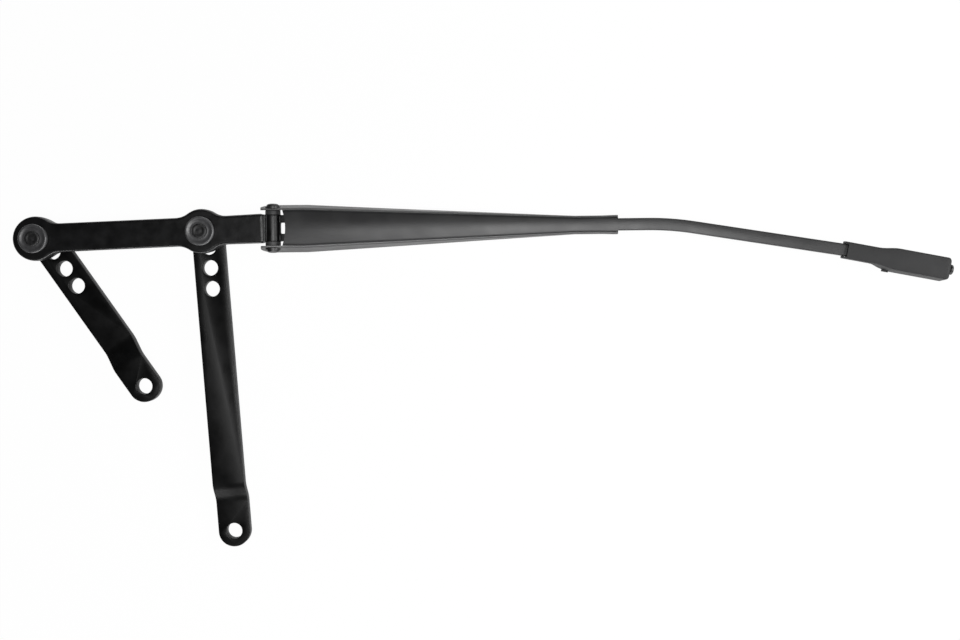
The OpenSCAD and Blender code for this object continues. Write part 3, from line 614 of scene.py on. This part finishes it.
def makeCoil(name, s, length):
    # a wire ring swept up the local Z axis by the screw modifier
    rise = length - 2 * s["wireR"]
    turns = int(rise / s["pitch"])
    clearSelection()
    bpy.ops.mesh.primitive_circle_add(vertices=s["wireSides"], radius=s["wireR"] * mm,
                                      location=(s["coilR"] * mm, 0, s["wireR"] * mm),
                                      rotation=(radians(90), 0, 0), fill_type="NOTHING")
    coil = newest(name)
    applyPlace()
    addModifier(coil, "SCREW", axis="Z", angle=2 * pi, screw_offset=rise / turns * mm, iterations=turns,
                steps=s["steps"], render_steps=s["steps"], use_merge_vertices=True, merge_threshold=1e-6)
    closeEnds(coil)
    return coil


def makeEye(pinAt, way, shankTo, across):
    # a closed ring round a cross pin, with a straight shank
    s = spring
    clearSelection()
    bpy.ops.mesh.primitive_torus_add(major_radius=s["eyeR"] * mm, minor_radius=s["wireR"] * mm,
                                     major_segments=s["eyeSides"], minor_segments=s["eyeWireSides"],
                                     location=(pinAt * mm, across * mm, s["drop"] * mm),
                                     rotation=(radians(90), 0, 0))
    ring = newest("eye")
    applyPlace()
    a = pinAt + way * s["eyeR"]
    bpy.ops.mesh.primitive_cylinder_add(vertices=s["eyeWireSides"], radius=s["wireR"] * mm,
                                        depth=abs(shankTo - a) * mm,
                                        location=((a + shankTo) / 2 * mm, across * mm, s["drop"] * mm),
                                        rotation=(0, radians(90), 0))
    shank = newest("shank")
    applyPlace()
    return ring, shank


def joinAs(name, parts):
    clearSelection()
    for part in parts:
        part.select_set(True)
    bpy.context.view_layer.objects.active = parts[0]
    bpy.ops.object.join()
    piece = newest(name)
    smooth(piece, 60)
    return piece


def makeArmSpring(name, side):
    s = spring
    coil = makeCoil(name, s, s["to"] - s["from"])
    moveTo(coil, (s["from"], side * s["offset"], s["drop"]), (0, 90, 0))
    eye = makeEye(s["pins"][0], 1, s["from"] + s["wireR"], side * (s["offset"] - s["coilR"]))
    return setDown(joinAs(name, [coil, *eye]), "arm")


def makeSpringHook(name, side):
    # the long hook that reaches into the coil, so that the spring can stretch when the arm folds up
    s = spring
    return setDown(joinAs(name, makeEye(s["pins"][1], -1, s["hookFrom"], side * s["hookOff"])), "arm")


for name, side in (("upper", 1), ("lower", -1)):
    finish(makeArmSpring(name + "CoilSpring", side), "spring_body",
           [name + "_spring"], "rawSteel")
    finish(makeSpringHook(name + "SpringHook", side), "arm_body", [], "rawSteel")

# return spring of the button, squashed between its seat and the button

returnSpring = {"seat": 68.4, "length": 11.2, "drop": -2, "coilR": 2.0, "wireR": 0.35, "pitch": 1.85,
                "steps": 28, "wireSides": 10, "travel": 1.3}


def makeButtonSpring():
    s = returnSpring
    coil = makeCoil("buttonCoilSpring", s, s["length"])
    moveTo(coil, (s["seat"], 0, s["drop"]), (0, 90, 0))
    smooth(coil, 60)
    return setDown(coil, "tip")


buttonSpring = makeButtonSpring()
finish(buttonSpring, "arm_body", ["button_spring"], "zinc")
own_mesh(buttonSpring)
print("springs ready")

# anchor, connector and their rivets, which stay as the CAD gives them, with broken edges

saddle = dict(slot="anchor_steel", look="rawSteel", edge=0.35, segments=2, angle=40)
spine = dict(saddle, edge=0.3)
flushRivet = dict(slot="zinc_steel", look="zinc", edge=0.35, segments=3, angle=60)
edged = {
    "spring_anchor": ("springAnchorSaddle", saddle),
    "tip_connector": ("tipSpine", spine),
    "anchor_rivet": ("anchorFlushRivet", flushRivet),
    "tip_rivet": ("tipFlushRivet", flushRivet),
}
for node, (name, p) in edged.items():
    piece = copyNode(node, name)
    editAll(piece)
    bpy.ops.mesh.dissolve_limited(angle_limit=radians(1))
    objectMode()
    bevelEdges(piece, p["edge"], p["segments"], p["angle"])
    smooth(piece, 32)
    finish(piece, "arm_body", [node], p["look"])

# tip: cover and button

cover = copyNode("tip_cover", "tipHood")
smooth(cover, 32)
finish(cover, "arm_body", ["tip_cover"], "coverPlastic")

button = {"stemFrom": 66.4, "stemR": 1.4, "foot": 81.0, "footR": 3.7, "neckR": 2.7, "top": 85.8, "capR": 4.1,
          "drop": -2}


def makeButton():
    b = button
    low, foot, top = b["stemFrom"], b["foot"], b["top"]
    stem, wide, neck, cap = b["stemR"], b["footR"], b["neckR"], b["capR"]
    profile = [
        (0.3, low), (1.1, low), (stem, low + 0.3), (stem, foot - 1.4), (3.5, foot - 1.4), (wide, foot - 1.2),
        (wide, foot - 0.15), (3.55, foot), (neck, foot), (neck, top), (3.95, top), (cap, top + 0.15),
        (cap, top + 1.35), (3.95, top + 1.75), (3.6, top + 1.98), (3.1, top + 2.1), (2.6, top + 2.02),
        (2.1, top + 1.85), (1.4, top + 1.8), (0.3, top + 1.8)
    ]
    piece = turnProfile("pushButton", profile, 64)
    closeEnds(piece)
    smooth(piece, 40)
    moveTo(piece, (0, 0, b["drop"]), (0, 90, 0))
    return setDown(piece, "tip")


finish(makeButton(), "button_body", ["release_button"], "buttonPlastic")
print("tip ready")

# stage: a matt table that is white to the camera, apart from the object's shadow

stage = {"floorZ": -0.6, "floorSize": 6000, "floorAt": (200, 200), "floorGrey": 0.86, "shadow": 0.03,
         "glossWhite": 0.45, "roomLight": 0.06}


def addScaled(tree, value, factor):
    scaled = tree.nodes.new("ShaderNodeMath")
    scaled.operation = "MULTIPLY"
    scaled.inputs[1].default_value = factor
    tree.links.new(value, scaled.inputs[0])
    return scaled.outputs[0]


def addWhite(tree, kind, strength):
    # white light from a background or an emission
    white = tree.nodes.new(kind)
    white.inputs["Color"].default_value = (1, 1, 1, 1)
    white.inputs["Strength"].default_value = strength
    return white.outputs[0]


def blendTo(tree, out, factor, a, b):
    blend = tree.nodes.new("ShaderNodeMixShader")
    tree.links.new(factor, blend.inputs["Fac"])
    tree.links.new(a, blend.inputs[1])
    tree.links.new(b, blend.inputs[2])
    tree.links.new(blend.outputs["Shader"], out.inputs["Surface"])


clearSelection()
bpy.ops.mesh.primitive_plane_add(size=stage["floorSize"] * mm,
                                 location=[c * mm for c in (*stage["floorAt"], stage["floorZ"])])
floor = newest("floor")
floorPaint = bpy.data.materials.new("floorPaint")
tree, out = nodesOf(floorPaint)
matt = tree.nodes.new("ShaderNodeBsdfDiffuse")
matt.inputs["Color"].default_value = (stage["floorGrey"], stage["floorGrey"], stage["floorGrey"], 1)
path = tree.nodes.new("ShaderNodeLightPath")
larger = tree.nodes.new("ShaderNodeMath")
larger.operation = "MAXIMUM"
tree.links.new(addScaled(tree, path.outputs["Is Camera Ray"], 1 - stage["shadow"]), larger.inputs[0])
# the sides of the pieces mirror the white table too
tree.links.new(addScaled(tree, path.outputs["Is Glossy Ray"], stage["glossWhite"]), larger.inputs[1])
blendTo(tree, out, larger.outputs[0], matt.outputs["BSDF"], addWhite(tree, "ShaderNodeEmission", 1.0))
floor.data.materials.append(floorPaint)

# studio light: a dark room, a soft box overhead, one at the right and two low ones along the table
world = bpy.data.worlds.new("room")
bpy.context.scene.world = world
world.use_nodes = True
roomTree = world.node_tree
roomTree.nodes.clear()
blendTo(roomTree, roomTree.nodes.new("ShaderNodeOutputWorld"),
        roomTree.nodes.new("ShaderNodeLightPath").outputs["Is Camera Ray"],
        addWhite(roomTree, "ShaderNodeBackground", stage["roomLight"]),
        addWhite(roomTree, "ShaderNodeBackground", 1.0))

# metres and watts
lampAim = Vector((0.24, 0.21, 0.01))
lamps = {
    "topBox": dict(at=(0.28, 0.10, 0.95), size=(0.64, 0.45), power=7.2),
    "lowBox": dict(at=(0.25, -0.95, 0.15), size=(1.7, 0.28), power=17),
    "highBox": dict(at=(0.30, 1.30, 0.16), size=(1.5, 0.30), power=6),
    "rightBox": dict(at=(1.10, 0.20, 0.56), size=(0.50, 0.5), power=6.5),
}
for name, lamp in lamps.items():
    clearSelection()
    bpy.ops.object.light_add(type="AREA", location=lamp["at"])
    light = bpy.context.object
    light.name = name
    light.data.shape = "RECTANGLE"
    light.data.size, light.data.size_y = lamp["size"]
    light.data.energy = lamp["power"]
    light.rotation_euler = (Vector(lamp["at"]) - lampAim).to_track_quat("Z", "Y").to_euler()

# looks straight down; the shift brings the arm to its place in the picture
view = {"at": (0.2446, 0.2088, 0.7527), "lens": 35, "sensor": 36, "shift": (-0.0625, -0.0521),
        "near": 0.01, "far": 20}
clearSelection()
bpy.ops.object.camera_add(location=view["at"], rotation=(0, 0, 0))
camera = bpy.context.object
camera.name = "photoCamera"
camera.data.lens = view["lens"]
camera.data.sensor_width = view["sensor"]
camera.data.shift_x, camera.data.shift_y = view["shift"]
camera.data.clip_start = view["near"]
camera.data.clip_end = view["far"]
bpy.context.scene.camera = camera
bpy.context.scene.view_settings.view_transform = "Standard"
print("stage ready")
